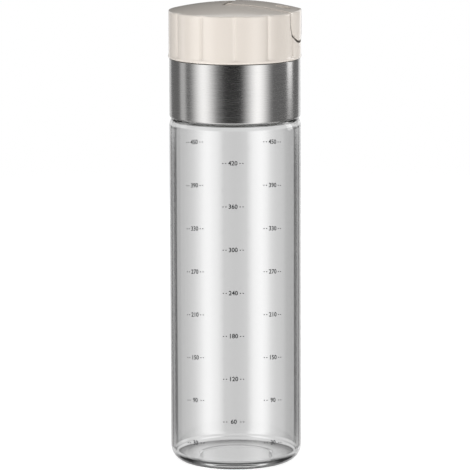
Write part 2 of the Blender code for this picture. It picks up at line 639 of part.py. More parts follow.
def vent_plug(parts, material, hinge):
    """Small silicone pad that closes the air chimney, pushed into the lid by its stem."""
    stem_top = LID_UNDERSIDE + VENT_STEM_HEIGHT
    outline = [(0.0, stem_top), (VENT_STEM_RADIUS, stem_top), (VENT_STEM_RADIUS, FLANGE_TOP),
               (VENT_PAD_RADIUS, FLANGE_TOP), (VENT_PAD_RADIUS, FLANGE_BOTTOM), (0.0, FLANGE_BOTTOM)]
    plug = turned("vent_plug", outline, parts, material, hinge, closed=False, steps=SMALL_STEPS)
    plug.location.x = VENT_REACH
    return plug


def add_empty(name, location, turn, collection, parent=None):
    """Make an empty that stands on a joint's axis."""
    empty = bpy.data.objects.new(name, None)
    empty.location = location
    empty.rotation_euler.z = turn
    empty.parent = parent
    empty.empty_display_size = BODY_RADIUS
    collection.objects.link(empty)
    return empty


def main():
    """Build the bottle."""
    clear_scene()
    parts = new_collection("oil_dispenser_bottle")
    cutters = new_collection("cutters")
    glass = make_material("clear_glass", (0.95, 0.97, 0.96), 0.02, transmission=1.0, ior=1.47)
    steel = make_material("brushed_steel", (0.60, 0.60, 0.60), 0.30, metallic=1.0)
    cream = make_material("cream_plastic", (0.82, 0.75, 0.71), 0.38)
    natural = make_material("natural_plastic", (0.72, 0.72, 0.70), 0.45)
    silicone = make_material("silicone", (0.78, 0.77, 0.75), 0.60)
    closure = add_empty("closure_turn", (0.0, 0.0, 0.0), LID_AZIMUTH, parts)
    hinge = add_empty("lid_hinge", (0.0, 0.0, PIN_HEIGHT), 0.0, parts, closure)
    hinge_frame = add_empty("lid_frame", (0.0, 0.0, -PIN_HEIGHT), 0.0, parts, hinge)
    glass_bottle(parts, cutters, glass)
    neck_gasket(parts, silicone)
    collar_core(parts, cutters, natural, closure)
    steel_collar(parts, steel, closure)
    cap_shell(parts, cutters, cream, closure)
    pour_insert(parts, cutters, natural, closure)
    insert_seal(parts, silicone, closure)
    spout_seal(parts, silicone, closure)
    pour_spout(parts, natural, closure)
    lid_pin(parts, steel, closure)
    flip_lid(parts, cutters, cream, hinge_frame)
    spout_plug(parts, silicone, hinge_frame)
    vent_plug(parts, silicone, hinge_frame)


main()
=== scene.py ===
# %% [markdown]
# # An oil dispenser bottle
#
# The object is a straight bottle of borosilicate glass with a printed scale. A collar
# clad in brushed steel and a lobed plastic cap screw onto it as one closure, and a lid
# flips open over a pouring spout. The solids, joints and sizes were made beforehand and
# are loaded here as a fixed frame. This script gives every visible surface its finish,
# and makes finer meshes where the frame's solids are too plain for a close look.

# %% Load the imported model
import json
import math

import bmesh
import bpy
from mathutils import Matrix, Vector


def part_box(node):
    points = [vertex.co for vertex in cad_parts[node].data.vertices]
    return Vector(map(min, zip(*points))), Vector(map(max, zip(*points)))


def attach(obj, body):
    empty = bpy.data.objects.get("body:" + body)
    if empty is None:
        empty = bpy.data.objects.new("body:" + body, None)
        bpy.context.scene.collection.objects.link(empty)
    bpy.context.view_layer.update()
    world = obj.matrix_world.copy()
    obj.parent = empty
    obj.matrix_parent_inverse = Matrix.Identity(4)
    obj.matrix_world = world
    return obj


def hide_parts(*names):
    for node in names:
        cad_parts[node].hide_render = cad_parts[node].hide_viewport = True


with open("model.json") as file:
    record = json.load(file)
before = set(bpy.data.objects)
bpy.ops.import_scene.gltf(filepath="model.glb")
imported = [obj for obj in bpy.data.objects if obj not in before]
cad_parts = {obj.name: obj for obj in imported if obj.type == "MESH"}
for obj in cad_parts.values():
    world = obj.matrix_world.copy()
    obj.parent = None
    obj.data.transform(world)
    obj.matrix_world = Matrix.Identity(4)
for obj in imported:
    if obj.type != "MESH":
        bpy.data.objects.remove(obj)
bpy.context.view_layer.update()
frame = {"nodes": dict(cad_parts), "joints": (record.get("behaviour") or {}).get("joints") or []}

# %% [markdown]
# ## Sizes
#
# All sizes below are in millimetres, because that is how the bottle would be drawn.
# Where a size can be read from the frame it is, so that the finer pieces land exactly on
# the solids that they stand for. The frame's box of a node gives its radius and heights.

# %% Read the main sizes from the frame
MM = 0.001


def box_mm(node):
    """Lowest and highest corner of a node, in millimetres."""
    low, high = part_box(node)
    return low / MM, high / MM


body_radius = box_mm("glass_bottle")[1].x
mouth_height = box_mm("glass_bottle")[1].z
sleeve_radius = box_mm("steel_collar")[1].x
sleeve_bottom = box_mm("steel_collar")[0].z
sleeve_top = box_mm("steel_collar")[1].z
cap_radius = box_mm("cap_shell")[1].y
cap_bottom = box_mm("cap_shell")[0].z
lid_top = box_mm("flip_lid")[1].z
hinge = next(joint for joint in frame["joints"] if joint["name"] == "lid_flip")
hinge_height = hinge["pos_m"][2] / MM
lid_turn = math.atan2(hinge["axis"][0], -hinge["axis"][1])
print(f"glass radius {body_radius:.2f}, mouth at {mouth_height:.2f}")
print(f"sleeve {sleeve_bottom:.2f} to {sleeve_top:.2f}, cap {cap_bottom:.2f} to {lid_top:.2f}")
print(f"lid turned {math.degrees(lid_turn):.1f} degrees")

# %% [markdown]
# ## Three helpers for turned pieces
#
# Nearly everything on a bottle is round, so its pieces are drawn as half of their
# section and spun about the upright axis. Drawing corners with a rounding each keeps
# the outlines short: the helper turns every rounded corner into a true arc. The spin
# merges its last ring with its first, and the points on the axis are merged after it.


# %% Outline, spin and arc helpers
def arc(radius, height, rounding, start, end, steps=10):
    """Points of an arc about (radius, height), from one angle in degrees to another."""
    points = []
    for step in range(steps + 1):
        angle = math.radians(start + (end - start) * step / steps)
        points.append(Vector((radius + rounding * math.cos(angle), 0.0,
                              height + rounding * math.sin(angle))))
    return points


def rounded(corners, steps=6):
    """Turn (radius, height, rounding) corners into points, each rounding a true arc."""
    places = [Vector((corner[0], 0.0, corner[1])) for corner in corners]
    points = []
    for index, corner in enumerate(corners):
        here = places[index]
        if len(corner) < 3:
            points.append(here)
            continue
        before = (places[index - 1] - here).normalized()
        after = (places[(index + 1) % len(places)] - here).normalized()
        half = before.angle(after) / 2.0
        centre = here + (before + after).normalized() * (corner[2] / math.sin(half))
        first = here + before * (corner[2] / math.tan(half)) - centre
        last = here + after * (corner[2] / math.tan(half)) - centre
        points += [centre + first.slerp(last, step / steps) * corner[2] for step in range(steps + 1)]
    return points


def spun(outline, steps, closed=True):
    """Spin an outline about Z into a bmesh. An open outline starts and ends on the axis."""
    shape = bmesh.new()
    corners = [shape.verts.new(point * MM) for point in outline]
    edges = [shape.edges.new(pair) for pair in zip(corners, corners[1:])]
    if closed:
        edges.append(shape.edges.new((corners[-1], corners[0])))
    bmesh.ops.spin(shape, geom=corners + edges, cent=(0.0, 0.0, 0.0), axis=(0.0, 0.0, 1.0),
                   angle=math.tau, steps=steps, use_merge=True)
    bmesh.ops.remove_doubles(shape, verts=shape.verts, dist=0.001 * MM)
    bmesh.ops.recalc_face_normals(shape, faces=shape.faces)
    return shape


# %% [markdown]
# ## From a bmesh to a piece of the model
#
# A finished piece sits at the origin with its place in its mesh, as the frame's own
# nodes do. It rides on a body, and the frame's nodes that it stands for are hidden. Edges
# flatter than the given angle are shaded smooth.


# %% Helpers that keep a piece
def to_object(name, shape):
    """Put a bmesh in the scene as an object."""
    mesh = bpy.data.meshes.new(name)
    shape.to_mesh(mesh)
    shape.free()
    made = bpy.data.objects.new(name, mesh)
    bpy.context.scene.collection.objects.link(made)
    return made


def keep(piece, finish, body, nodes=(), sharp=35.0):
    """Give a piece its finish and its body, and hide the frame's nodes that it stands for."""
    piece.data.materials.clear()
    piece.data.materials.append(finish)
    piece.data.shade_smooth()
    piece.data.set_sharp_from_angle(angle=math.radians(sharp))
    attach(piece, body)
    if nodes:
        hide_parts(*nodes)
    print(f"{piece.name}: {len(piece.data.polygons)} faces")
    return piece


# %% [markdown]
# ## Helpers for materials
#
# Colours are written as sRGB hex values, as a colour chart gives them, and one function
# turns them into the linear values that the shader wants. One more function adds a node,
# sets it up and links it, so that a material reads as a short list of steps.


# %% Colour, node and material helpers
def linear(hex_colour):
    """Linear RGBA of an sRGB hex colour."""
    values = [int(hex_colour[index:index + 2], 16) / 255.0 for index in (1, 3, 5)]
    return (*[value / 12.92 if value <= 0.04045 else ((value + 0.055) / 1.055) ** 2.4
              for value in values], 1.0)


def add(tree, kind, inputs=None, **settings):
    """Add a node, set its properties, and set or link its inputs."""
    node = tree.nodes.new(kind)
    for name, value in settings.items():
        setattr(node, name, value)
    for socket, value in (inputs or {}).items():
        if isinstance(value, bpy.types.NodeSocket):
            tree.links.new(value, node.inputs[socket])
        else:
            node.inputs[socket].default_value = value
    return node


def new_material(name, **values):
    """A Principled material with plain values set on its own sockets."""
    material = bpy.data.materials.new(name)
    material.use_nodes = True
    shader = material.node_tree.nodes["Principled BSDF"]
    for socket, value in values.items():
        shader.inputs[socket.replace("_", " ")].default_value = value
    return material, material.node_tree, shader


def place_mm(tree, scale=(1.0, 1.0, 1.0)):
    """Object coordinates in millimetres, each axis scaled."""
    spot = add(tree, "ShaderNodeTexCoord")
    return add(tree, "ShaderNodeMapping", {"Vector": spot.outputs["Object"],
                                           "Scale": [value / MM for value in scale]}).outputs[0]


# %% [markdown]
# ## Borosilicate glass
#
# Kitchen bottles like this one are drawn from borosilicate tube, a hard glass with hardly
# any colour and an index of refraction of about 1.47. The index is set to 1.49 here, which
# puts the dark lines of the wall where the photograph has them. Tube is never perfectly
# true: its wall swells and thins a little, more slowly along its length than round it,
# which gives reflections a slow wobble. That wobble is a bump too shallow to see as a shape.

# %% Make the glass
GLASS_INDEX = 1.49
SWELL_ROUND, SWELL_ALONG, SWELL_DEPTH = 38.0, 152.0, 0.02
glass, tree, shader = new_material("borosilicate_glass", Base_Color=linear("#FCFCFC"), Roughness=0.0,
                                   IOR=GLASS_INDEX, Transmission_Weight=1.0)
spot = place_mm(tree, (1.0 / SWELL_ROUND, 1.0 / SWELL_ROUND, 1.0 / SWELL_ALONG))
swell = add(tree, "ShaderNodeTexNoise", {"Vector": spot, "Scale": 1.0, "Detail": 1.0})
wobble = add(tree, "ShaderNodeBump", {"Height": swell.outputs[0], "Strength": 0.35,
                                      "Distance": SWELL_DEPTH * MM})
tree.links.new(wobble.outputs[0], shader.inputs["Normal"])
print("glass swells every", SWELL_ROUND, "mm round and", SWELL_ALONG, "mm along")

# %% [markdown]
# ## Brushed stainless steel
#
# The sleeve is thin stainless sheet, brushed with a belt while it turned, so its
# scratches run round it. Such a surface mirrors sharply along the scratches and smears
# light across them, which draws soft boxes out into upright bands. The anisotropic
# shader does that, with a tangent that runs round the axis, turned by a quarter. Real
# brushing is 0.05 mm fine. The streaks are drawn about 0.4 mm wide so that they show.

# %% Make the steel
STREAK_HEIGHT = 0.4
STREAK_LENGTH = 14.0
steel, tree, shader = new_material("brushed_stainless_steel", Base_Color=linear("#AAA9A8"), Metallic=1.0,
                                   Anisotropic=0.85, Anisotropic_Rotation=0.25)
along = place_mm(tree, (1.0 / STREAK_LENGTH, 1.0 / STREAK_LENGTH, 1.0 / STREAK_HEIGHT))
streaks = add(tree, "ShaderNodeTexNoise", {"Vector": along, "Scale": 1.0, "Detail": 3.0,
                                           "Roughness": 0.6})
grip = add(tree, "ShaderNodeMapRange", {"Value": streaks.outputs[0], "To Min": 0.19, "To Max": 0.33})
tone = add(tree, "ShaderNodeMix", {"Factor": streaks.outputs[0], "A": linear("#A2A1A0"),
                                   "B": linear("#B2B1B0")}, data_type='RGBA')
scratch = add(tree, "ShaderNodeBump", {"Height": streaks.outputs[0], "Strength": 0.25,
                                       "Distance": 0.01 * MM})
around = add(tree, "ShaderNodeTangent", direction_type='RADIAL', axis='Z')
for socket, source in (("Base Color", tone.outputs[2]), ("Roughness", grip.outputs[0]),
                       ("Normal", scratch.outputs[0]), ("Tangent", around.outputs[0])):
    tree.links.new(source, shader.inputs[socket])
print("steel streaks", STREAK_HEIGHT, "mm high")

# %% [markdown]
# ## Moulded cream plastic
#
# The cap and its lid are moulded ABS, warm off-white with a clear gloss: the mould was
# polished, so the skin of the plastic mirrors the soft boxes, while the plastic below it
# scatters light. A coat layer gives that skin. Under it lies a grain a few tenths of a
# millimetre across, and very slight flow marks that shift the colour by a shade or so.
# In the photograph the narrow gap round the lid is nearly black. So the cream colour is
# darkened where other surfaces close in within three millimetres.


# %% Make the moulded plastics
FLOW_SIZE = 18.0
GAP_REACH, GAP_COLOUR = 3.0, 0.15       # reach in millimetres, share of the colour left in a gap
CLOSED_IN, OPEN = 0.2, 0.7              # openness at which the gap's shade is full, and gone


def moulded(name, colour, flow_colour, roughness, grain, depth, in_gaps=1.0, **values):
    """Moulded plastic: faint flow marks, a fine grain, and shade in narrow gaps where asked for."""
    material, tree, shader = new_material(name, Roughness=roughness, **values)
    spot = place_mm(tree)
    flow = add(tree, "ShaderNodeTexNoise", {"Vector": spot, "Scale": 1.0 / FLOW_SIZE, "Detail": 2.0})
    tone = add(tree, "ShaderNodeMix", {"Factor": flow.outputs[0], "A": linear(colour),
                                       "B": linear(flow_colour)}, data_type='RGBA').outputs[2]
    # painted shade: the colour is darkened where ambient occlusion finds other surfaces close by, as in
    # the gap round the lid
    if in_gaps < 1.0:
        openness = add(tree, "ShaderNodeAmbientOcclusion", {"Distance": GAP_REACH * MM}, samples=8)
        dim = add(tree, "ShaderNodeMapRange", {"Value": openness.outputs["AO"], "From Min": CLOSED_IN,
                                               "From Max": OPEN, "To Min": in_gaps, "To Max": 1.0})
        tone = add(tree, "ShaderNodeVectorMath", {0: tone, "Scale": dim.outputs[0]},
                   operation='SCALE').outputs[0]
    pits = add(tree, "ShaderNodeTexNoise", {"Vector": spot, "Scale": 1.0 / grain, "Detail": 2.0})
    bump = add(tree, "ShaderNodeBump", {"Height": pits.outputs[0], "Strength": 0.3,
                                        "Distance": depth * MM})
    tree.links.new(tone, shader.inputs["Base Color"])
    tree.links.new(bump.outputs[0], shader.inputs["Normal"])
    return material


cream = moulded("cream_abs", "#F3EAE0", "#F0E7DD", 0.35, 0.5, 0.010, GAP_COLOUR, Coat_Weight=0.7,
                Coat_Roughness=0.10, Coat_IOR=1.5, Specular_IOR_Level=0.3)
natural = moulded("natural_polypropylene", "#DADAD4", "#D4D4CD", 0.42, 0.7, 0.012,
                  Subsurface_Weight=0.15, Subsurface_Radius=(0.002, 0.002, 0.002))
silicone = moulded("translucent_silicone", "#DCD9D2", "#D6D3CC", 0.55, 0.4, 0.010,
                   Subsurface_Weight=0.3, Subsurface_Radius=(0.002, 0.002, 0.002))
print("plastics:", cream.name, natural.name, silicone.name)

# %% [markdown]
# ## Ground steel pin and printed enamel
#
# The hinge pin is a plain ground steel pin: a small, even satin metal. The scale is
# screen printed in a dark grey glass enamel and fired, so the ink is matt beside the
# glass and slightly uneven where the mesh of the screen left its dots.

# %% Make the pin's steel and the ink
pin_steel, tree, shader = new_material("ground_steel", Metallic=1.0, Roughness=0.28)
rings = add(tree, "ShaderNodeTexNoise", {"Vector": place_mm(tree), "Scale": 4.0, "Detail": 2.0})
tint = add(tree, "ShaderNodeMix", {"Factor": rings.outputs[0], "A": linear("#B9B8B6"),
                                   "B": linear("#C9C8C6")}, data_type='RGBA')
tree.links.new(tint.outputs[2], shader.inputs["Base Color"])
ink, tree, shader = new_material("fired_enamel_ink", Roughness=0.55)
dots = add(tree, "ShaderNodeTexNoise", {"Vector": place_mm(tree), "Scale": 6.0, "Detail": 1.0})
shade = add(tree, "ShaderNodeMix", {"Factor": dots.outputs[0], "A": linear("#1C1D1F"),
                                    "B": linear("#303234")}, data_type='RGBA')
tree.links.new(shade.outputs[2], shader.inputs["Base Color"])
print("metal and ink:", pin_steel.name, ink.name)

# %% [markdown]
# ## The glass bottle
#
# One piece of glass: a heavy base with a slightly hollow underside, a straight side, a
# round shoulder, and a neck with a moulded screw thread. Inside, the shoulder turns more
# tightly than outside. Seen from a little above it mirrors the dark under the collar, and
# so draws the dark ring there. The outline starts inside on the floor, climbs the inner
# wall, goes over the lip of the mouth and comes down outside. The thread is made after the
# spin, by pushing out the rings of points on the neck where the bead of the thread passes.

# %% Draw and spin the bottle
BODY_WALL = 1.95
SIDE_HEIGHT = 166.0
SHOULDER = 8.0
INNER_SIDE_HEIGHT, INNER_SHOULDER, NECK_ROUND = 166.3, 4.0, 1.0
HEEL = 8.0
INNER_HEEL = 2.2
FLOOR_EDGE, FLOOR_MIDDLE = 3.7, 4.3
REST_EDGE, PUNT_START, PUNT_FLAT = 18.0, 16.4, 12.0     # radii under the base, from outside in
PUNT_EDGE, PUNT_RING, PUNT_MIDDLE = 0.9, 1.0, 1.2       # heights of the hollow under the base
NECK_RADIUS, MOUTH_RADIUS = 26.4, 24.2
LIP = 0.9
THREAD_FOOT, THREAD_PITCH, THREAD_TURNS, THREAD_BEAD = 187.3, 4.0, 1.25, 1.1
THREAD_ZONE = (185.0, 195.0)
THREAD_STEPS, GLASS_STEPS = 40, 192

inner_radius = body_radius - BODY_WALL
shoulder_centre = body_radius - SHOULDER
outer_end = math.degrees(math.acos((NECK_RADIUS - shoulder_centre) / SHOULDER))
floor_radius = inner_radius - INNER_HEEL
floor_crown = FLOOR_MIDDLE - FLOOR_EDGE
outline = [Vector((floor_radius * share, 0.0, FLOOR_EDGE + floor_crown * (1.0 - share ** 2)))
           for share in (0.0, 0.2, 0.4, 0.6, 0.8)]
outline += arc(floor_radius, FLOOR_EDGE + INNER_HEEL, INNER_HEEL, -90.0, 0.0, 14)
outline += arc(inner_radius - INNER_SHOULDER, INNER_SIDE_HEIGHT, INNER_SHOULDER, 0.0, 90.0, 16)
outline += arc(MOUTH_RADIUS + NECK_ROUND, INNER_SIDE_HEIGHT + INNER_SHOULDER + NECK_ROUND, NECK_ROUND,
               -90.0, -180.0, 6)
outline += arc(MOUTH_RADIUS + LIP, mouth_height - LIP, LIP, 180.0, 90.0, 6)
outline += arc(NECK_RADIUS - LIP, mouth_height - LIP, LIP, 90.0, 0.0, 6)
zone_low, zone_high = THREAD_ZONE
outline += [Vector((NECK_RADIUS, 0.0, zone_high + (zone_low - zone_high) * step / THREAD_STEPS))
            for step in range(THREAD_STEPS + 1)]
outline += arc(shoulder_centre, SIDE_HEIGHT, SHOULDER, outer_end, 0.0, 16)
outline += arc(body_radius - HEEL, HEEL, HEEL, 0.0, -90.0, 16)
outline += rounded([(body_radius - HEEL, 0.0), (REST_EDGE, 0.0, 0.8), (PUNT_START, PUNT_EDGE, 1.0),
                    (PUNT_FLAT, PUNT_RING), (0.0, PUNT_MIDDLE)])[1:]
shape = spun(outline, GLASS_STEPS, closed=False)
for vertex in shape.verts:
    radius = math.hypot(vertex.co.x, vertex.co.y) / MM
    height = vertex.co.z / MM
    if abs(radius - NECK_RADIUS) > 0.01 or not zone_low < height < zone_high:
        continue
    turn = math.atan2(vertex.co.y, vertex.co.x) % math.tau / math.tau
    for lap in range(2):
        along = turn + lap
        fade = min(1.0, along / 0.1, (THREAD_TURNS - along) / 0.1)
        off = abs(height - THREAD_FOOT - along * THREAD_PITCH)
        bead = THREAD_BEAD * (0.35 + 0.65 * fade)
        if fade > 0.0 and off < bead:
            grow = 1.0 + math.sqrt(bead ** 2 - off ** 2) / NECK_RADIUS
            vertex.co.x *= grow
            vertex.co.y *= grow
keep(to_object("bottle_glass", shape), glass, "bottle", ["glass_bottle"], sharp=60.0)

# %% [markdown]
# ## The printed scale
#
# A scale in cubic centimetres runs up the front in three columns: the middle one counts
# 60, 120 and on to 420, and the two beside it stand halfway between. Each mark is a
# number between short dashes. The marks are drawn as text and boxes, made into meshes,
# and then rolled onto the glass, which keeps them crisp in every view. Seen from above, a
# level ring on the glass curves up at its sides. The photograph's side columns don't, so
# they are set a little lower on the glass than the middle one.

# %% Print the scale
SCALE_ZERO, MM_PER_60 = 3.9, 21.16      # height of zero, and of each 60 cubic centimetres
DIGIT_SIZE = 3.0                        # font size that gives digits about 2.1 high
INK_LIFT, INK_THICKNESS = 0.035, 0.02
ROUND_DROP = 0.163                      # how much lower a mark is for each step that it lies back
DIGIT_SWELL = 0.065                     # extra half width of each stroke
DASHES = (3.45, 4.85)
DASH_SIZE = (0.6, 0.42)
MIDDLE_COLUMN, SIDE_COLUMNS = -2.0, (-38.2, 34.3)       # degrees from the front


def mark_shape(text):
    """A flat mark about the origin: text between dashes, as a bmesh in millimetres."""
    curve = bpy.data.curves.new("mark", 'FONT')
    curve.body = text
    curve.size = DIGIT_SIZE
    curve.align_x = 'CENTER'
    curve.align_y = 'CENTER'
    curve.extrude = INK_THICKNESS / 2.0
    curve.offset = DIGIT_SWELL
    curve.resolution_u = 3
    words = bpy.data.objects.new("mark", curve)
    bpy.context.scene.collection.objects.link(words)
    bpy.context.view_layer.update()
    mesh = bpy.data.meshes.new_from_object(words.evaluated_get(bpy.context.evaluated_depsgraph_get()))
    shape = bmesh.new()
    shape.from_mesh(mesh)
    bmesh.ops.remove_doubles(shape, verts=shape.verts, dist=0.001)
    for reach in DASHES:
        for side in (-1.0, 1.0):
            made = bmesh.ops.create_cube(shape, size=1.0)["verts"]
            bmesh.ops.scale(shape, vec=(*DASH_SIZE, INK_THICKNESS), verts=made)
            bmesh.ops.translate(shape, vec=(side * reach, 0.0, 0.0), verts=made)
    bpy.data.objects.remove(words)
    bpy.data.curves.remove(curve)
    bpy.data.meshes.remove(mesh)
    return shape


def roll_on(shape, azimuth, height):
    """Roll a flat mark onto the glass at an angle from the front and a height."""
    for vertex in shape.verts:
        angle = math.radians(azimuth) + vertex.co.x / body_radius
        radius = body_radius + INK_LIFT + vertex.co.z
        drop = ROUND_DROP * body_radius * (1.0 - math.cos(angle))
        vertex.co = Vector((radius * math.sin(angle), -radius * math.cos(angle),
                            height + vertex.co.y - drop)) * MM


marks = [(MIDDLE_COLUMN, amount) for amount in range(60, 421, 60)]
marks += [(azimuth, amount) for azimuth in SIDE_COLUMNS for amount in range(30, 451, 60)]
scale_print = bmesh.new()
for azimuth, amount in marks:
    shape = mark_shape(str(amount))
    roll_on(shape, azimuth, SCALE_ZERO + amount / 60.0 * MM_PER_60)
    part = bpy.data.meshes.new("mark")
    shape.to_mesh(part)
    shape.free()
    scale_print.from_mesh(part)
    bpy.data.meshes.remove(part)
keep(to_object("scale_print", scale_print), ink, "bottle")

# %% [markdown]
# ## The steel sleeve
#
# The collar's skin is a drawn steel sleeve 0.6 mm thick. Its lower edge is rolled in, so
# that no raw edge meets the hand, and that roll catches a thin line of light.

# %% Spin the sleeve
SLEEVE_WALL, SLEEVE_ROLL = 0.6, 1.0
inner = sleeve_radius - SLEEVE_WALL
roll_end = sleeve_radius - SLEEVE_ROLL - 0.02
outline = rounded([(sleeve_radius, sleeve_top, 0.25), (sleeve_radius, sleeve_bottom, SLEEVE_ROLL),
                   (roll_end, sleeve_bottom), (roll_end, sleeve_bottom + SLEEVE_WALL),
                   (inner, sleeve_bottom + SLEEVE_WALL, SLEEVE_ROLL - SLEEVE_WALL),
                   (inner, sleeve_top, 0.2)])
keep(to_object("collar_sleeve", spun(outline, 256)), steel, "closure", ["steel_collar"])

# %% [markdown]
# ## Cutting with helper solids
#
# The cap and the lid are more than turned shapes: a channel runs across the cap's top
# and down its side, and the lid lies in it. As in a toolmaker's drawing, each is a
# turned blank with other solids added and taken away. The Boolean modifier does that,
# and its result is stored as a plain mesh.


# %% Boolean helper and cutters
PAST = 3.0              # how far a cutter reaches past what it cuts


def carved(name, blank, tools):
    """Apply (operation, tool) Booleans to a blank and return one clean object."""
    for operation, tool in tools:
        change = blank.modifiers.new(tool.name, 'BOOLEAN')
        change.operation = operation
        change.solver = 'EXACT'
        change.object = tool
    bpy.context.view_layer.update()
    seen = blank.evaluated_get(bpy.context.evaluated_depsgraph_get())
    mesh = bpy.data.meshes.new_from_object(seen)
    mesh.name = name
    done = bpy.data.objects.new(name, mesh)
    bpy.context.scene.collection.objects.link(done)
    for used in [blank] + [tool for _, tool in tools]:
        bpy.data.objects.remove(used)
    return done


def rod(name, radius, length, centre, across=False, steps=64):
    """A cylinder in millimetres, upright or lying across the lid."""
    shape = bmesh.new()
    bmesh.ops.create_cone(shape, cap_ends=True, segments=steps, radius1=radius, radius2=radius,
                          depth=length)
    if across:
        bmesh.ops.rotate(shape, verts=shape.verts, matrix=Matrix.Rotation(math.pi / 2.0, 3, 'X'))
    bmesh.ops.translate(shape, verts=shape.verts, vec=centre)
    bmesh.ops.scale(shape, verts=shape.verts, vec=(MM, MM, MM))
    return to_object(name, shape)


def box_between(name, low, high):
    """A box between two corners, in millimetres."""
    shape = bmesh.new()
    bmesh.ops.create_cube(shape, size=1.0)
    bmesh.ops.scale(shape, verts=shape.verts, vec=(Vector(high) - Vector(low)) * MM)
    bmesh.ops.translate(shape, verts=shape.verts, vec=(Vector(high) + Vector(low)) / 2.0 * MM)
    return to_object(name, shape)


def strip_prism(name, half_width, tip_height, start):
    """Solid along +X with the lid's outline seen end on: straight sides and a round tip."""
    round_height = tip_height + half_width
    section = [Vector((0.0, side * half_width, cap_top + PAST)) for side in (1.0, -1.0)]
    section += [Vector((0.0, -point.x, point.z))
                for point in arc(0.0, round_height, half_width, 0.0, -180.0, 48)]
    shape = bmesh.new()
    start_corner = Vector((start, 0.0, 0.0))
    face = shape.faces.new([shape.verts.new((point + start_corner) * MM) for point in section])
    grown = bmesh.ops.extrude_face_region(shape, geom=[face])
    ends = [item for item in grown["geom"] if isinstance(item, bmesh.types.BMVert)]
    bmesh.ops.translate(shape, verts=ends, vec=((cap_radius + PAST - start) * MM, 0.0, 0.0))
    bmesh.ops.recalc_face_normals(shape, faces=shape.faces)
    return to_object(name, shape)


def turn_to_lid(piece):
    """Turn a piece drawn with the lid along +X to the lid's real direction."""
    piece.data.transform(Matrix.Rotation(lid_turn, 4, 'Z'))
    return piece


# %% [markdown]
# ## The lobed cap
#
# The cap is a cream shell with twelve wide lobes for a wet hand. Each lobe bulges a
# little less than half a millimetre and meets the next one in a soft groove, about two
# millimetres wide and a quarter of a millimetre deep. Below the lobes is a plain lip.
# Above them the side turns over a crisp edge into a dome, and the lobes die out in that
# edge. The channel's edges on the outside get a bevel. The tiny faces that the Booleans
# leave beside an edge hold it to a hair's width, so the edge stays crisp, and its shading
# turns softly.

# %% Spin the cap and press in its grooves
LOBES, LOBE_BULGE, GROOVE_DEPTH, GROOVE_WIDTH = 12, 0.45, 0.24, 0.13
STEPS_PER_LOBE = 32
CAP_EDGE, DOME_RISE, LID_PROUD = 0.8, 3.9, 0.5
LIP_ROUND, LIP_TOP, RUN_OUT, SIDE_START = 0.8, 1.0, 1.2, 6.0
CAP_INSIDE, CAP_CEILING = 29.9, 220.6
LID_HALF_WIDTH, KNUCKLE_RADIUS, SIDE_GAP = 10.0, 2.8, 0.45
TAB_THICKNESS, TAB_TIP = 1.2, 208.8
NOTCH_BOTTOM = 207.6
CHANNEL_END, CHANNEL_FLOOR, CHANNEL_UNDERSIDE = -3.6, 218.7, 217.1
CHANNEL_WALL, WEB_RADIUS = 2.4, 30.3
PIN_RADIUS, PIN_SEAT, GAP = 0.8, 1.5, 0.3
HOLE_LENGTH = 6.0
CHANNEL_BEVEL, LID_BEVEL = 0.5, 0.15    # the most that a bevel may take, which small faces cut down
TINY_EDGE = 0.02                        # edges shorter than this are merged away
SPOUT_REACH, SPOUT_BORE, SPOUT_RADIUS, SPOUT_TOP = 24.4, 3.3, 4.2, 220.4
VENT_REACH, VENT_RADIUS = 10.5, 2.5

cap_top = lid_top - LID_PROUD
dome_lean = math.atan(2.0 * DOME_RISE / cap_radius)


def dome_height(radius, top):
    """Height at a radius of the dome whose middle is at a height."""
    return top - DOME_RISE * (radius / cap_radius) ** 2


def dome_and_edge(top, steps=12):
    """Outline from the middle of a dome out and over its edge, down to the side."""
    centre = cap_radius - CAP_EDGE
    edge_top = dome_height(centre + CAP_EDGE * math.sin(dome_lean), top)
    edge_centre = edge_top - CAP_EDGE * math.cos(dome_lean)
    shares = (0.0, 0.1, 0.2, 0.3, 0.4, 0.5, 0.6, 0.7, 0.8, 0.88, 0.94)
    points = [Vector((centre * share, 0.0, dome_height(centre * share, top))) for share in shares]
    return points + arc(centre, edge_centre, CAP_EDGE, 90.0 - math.degrees(dome_lean), 0.0, steps)


def on_skin(point, top):
    """Whether a point lies on the outside of the cap, or of the lid, whose middle is at a height."""
    radius, height = math.hypot(point.x, point.y) / MM, point.z / MM
    if radius > cap_radius - CAP_EDGE:
        return True
    return abs(height - dome_height(radius, top)) < 0.03


def soften(piece, top, width):
    """Merge tiny edges, and soften the shading of the sharp edges on the outside of a moulding."""
    shape = bmesh.new()
    shape.from_mesh(piece.data)
    # a large face can be lost when its corners merge, so it is cut into triangles first
    bmesh.ops.triangulate(shape, faces=[face for face in shape.faces if len(face.verts) > 4])
    bmesh.ops.remove_doubles(shape, verts=shape.verts, dist=TINY_EDGE * MM)
    edges = [edge for edge in shape.edges if edge.is_manifold
             and math.degrees(edge.calc_face_angle()) > 45.0
             and all(on_skin(vertex.co, top) for vertex in edge.verts)]
    # with clamp_overlap the bevel is cut down to what the smallest face beside it allows
    bmesh.ops.bevel(shape, geom=edges, offset=width * MM, offset_type='OFFSET', segments=3,
                    profile=0.5, affect='EDGES', clamp_overlap=True, material=-1)
    shape.to_mesh(piece.data)
    shape.free()
    print(piece.name, "has", len(edges), "edges softened")
    return piece


def lobe_share(height):
    """How much of the lobes' relief a height on the cap's side has."""
    fade_in = min(1.0, max(0.0, (height - cap_bottom - LIP_TOP) / RUN_OUT))
    lean = math.asin(min(1.0, max(0.0, (height - edge_foot) / CAP_EDGE)))
    fade_out = max(0.0, 1.0 - lean / (math.pi / 2.0 - dome_lean))
    return fade_in * fade_in * (3.0 - 2.0 * fade_in) * fade_out


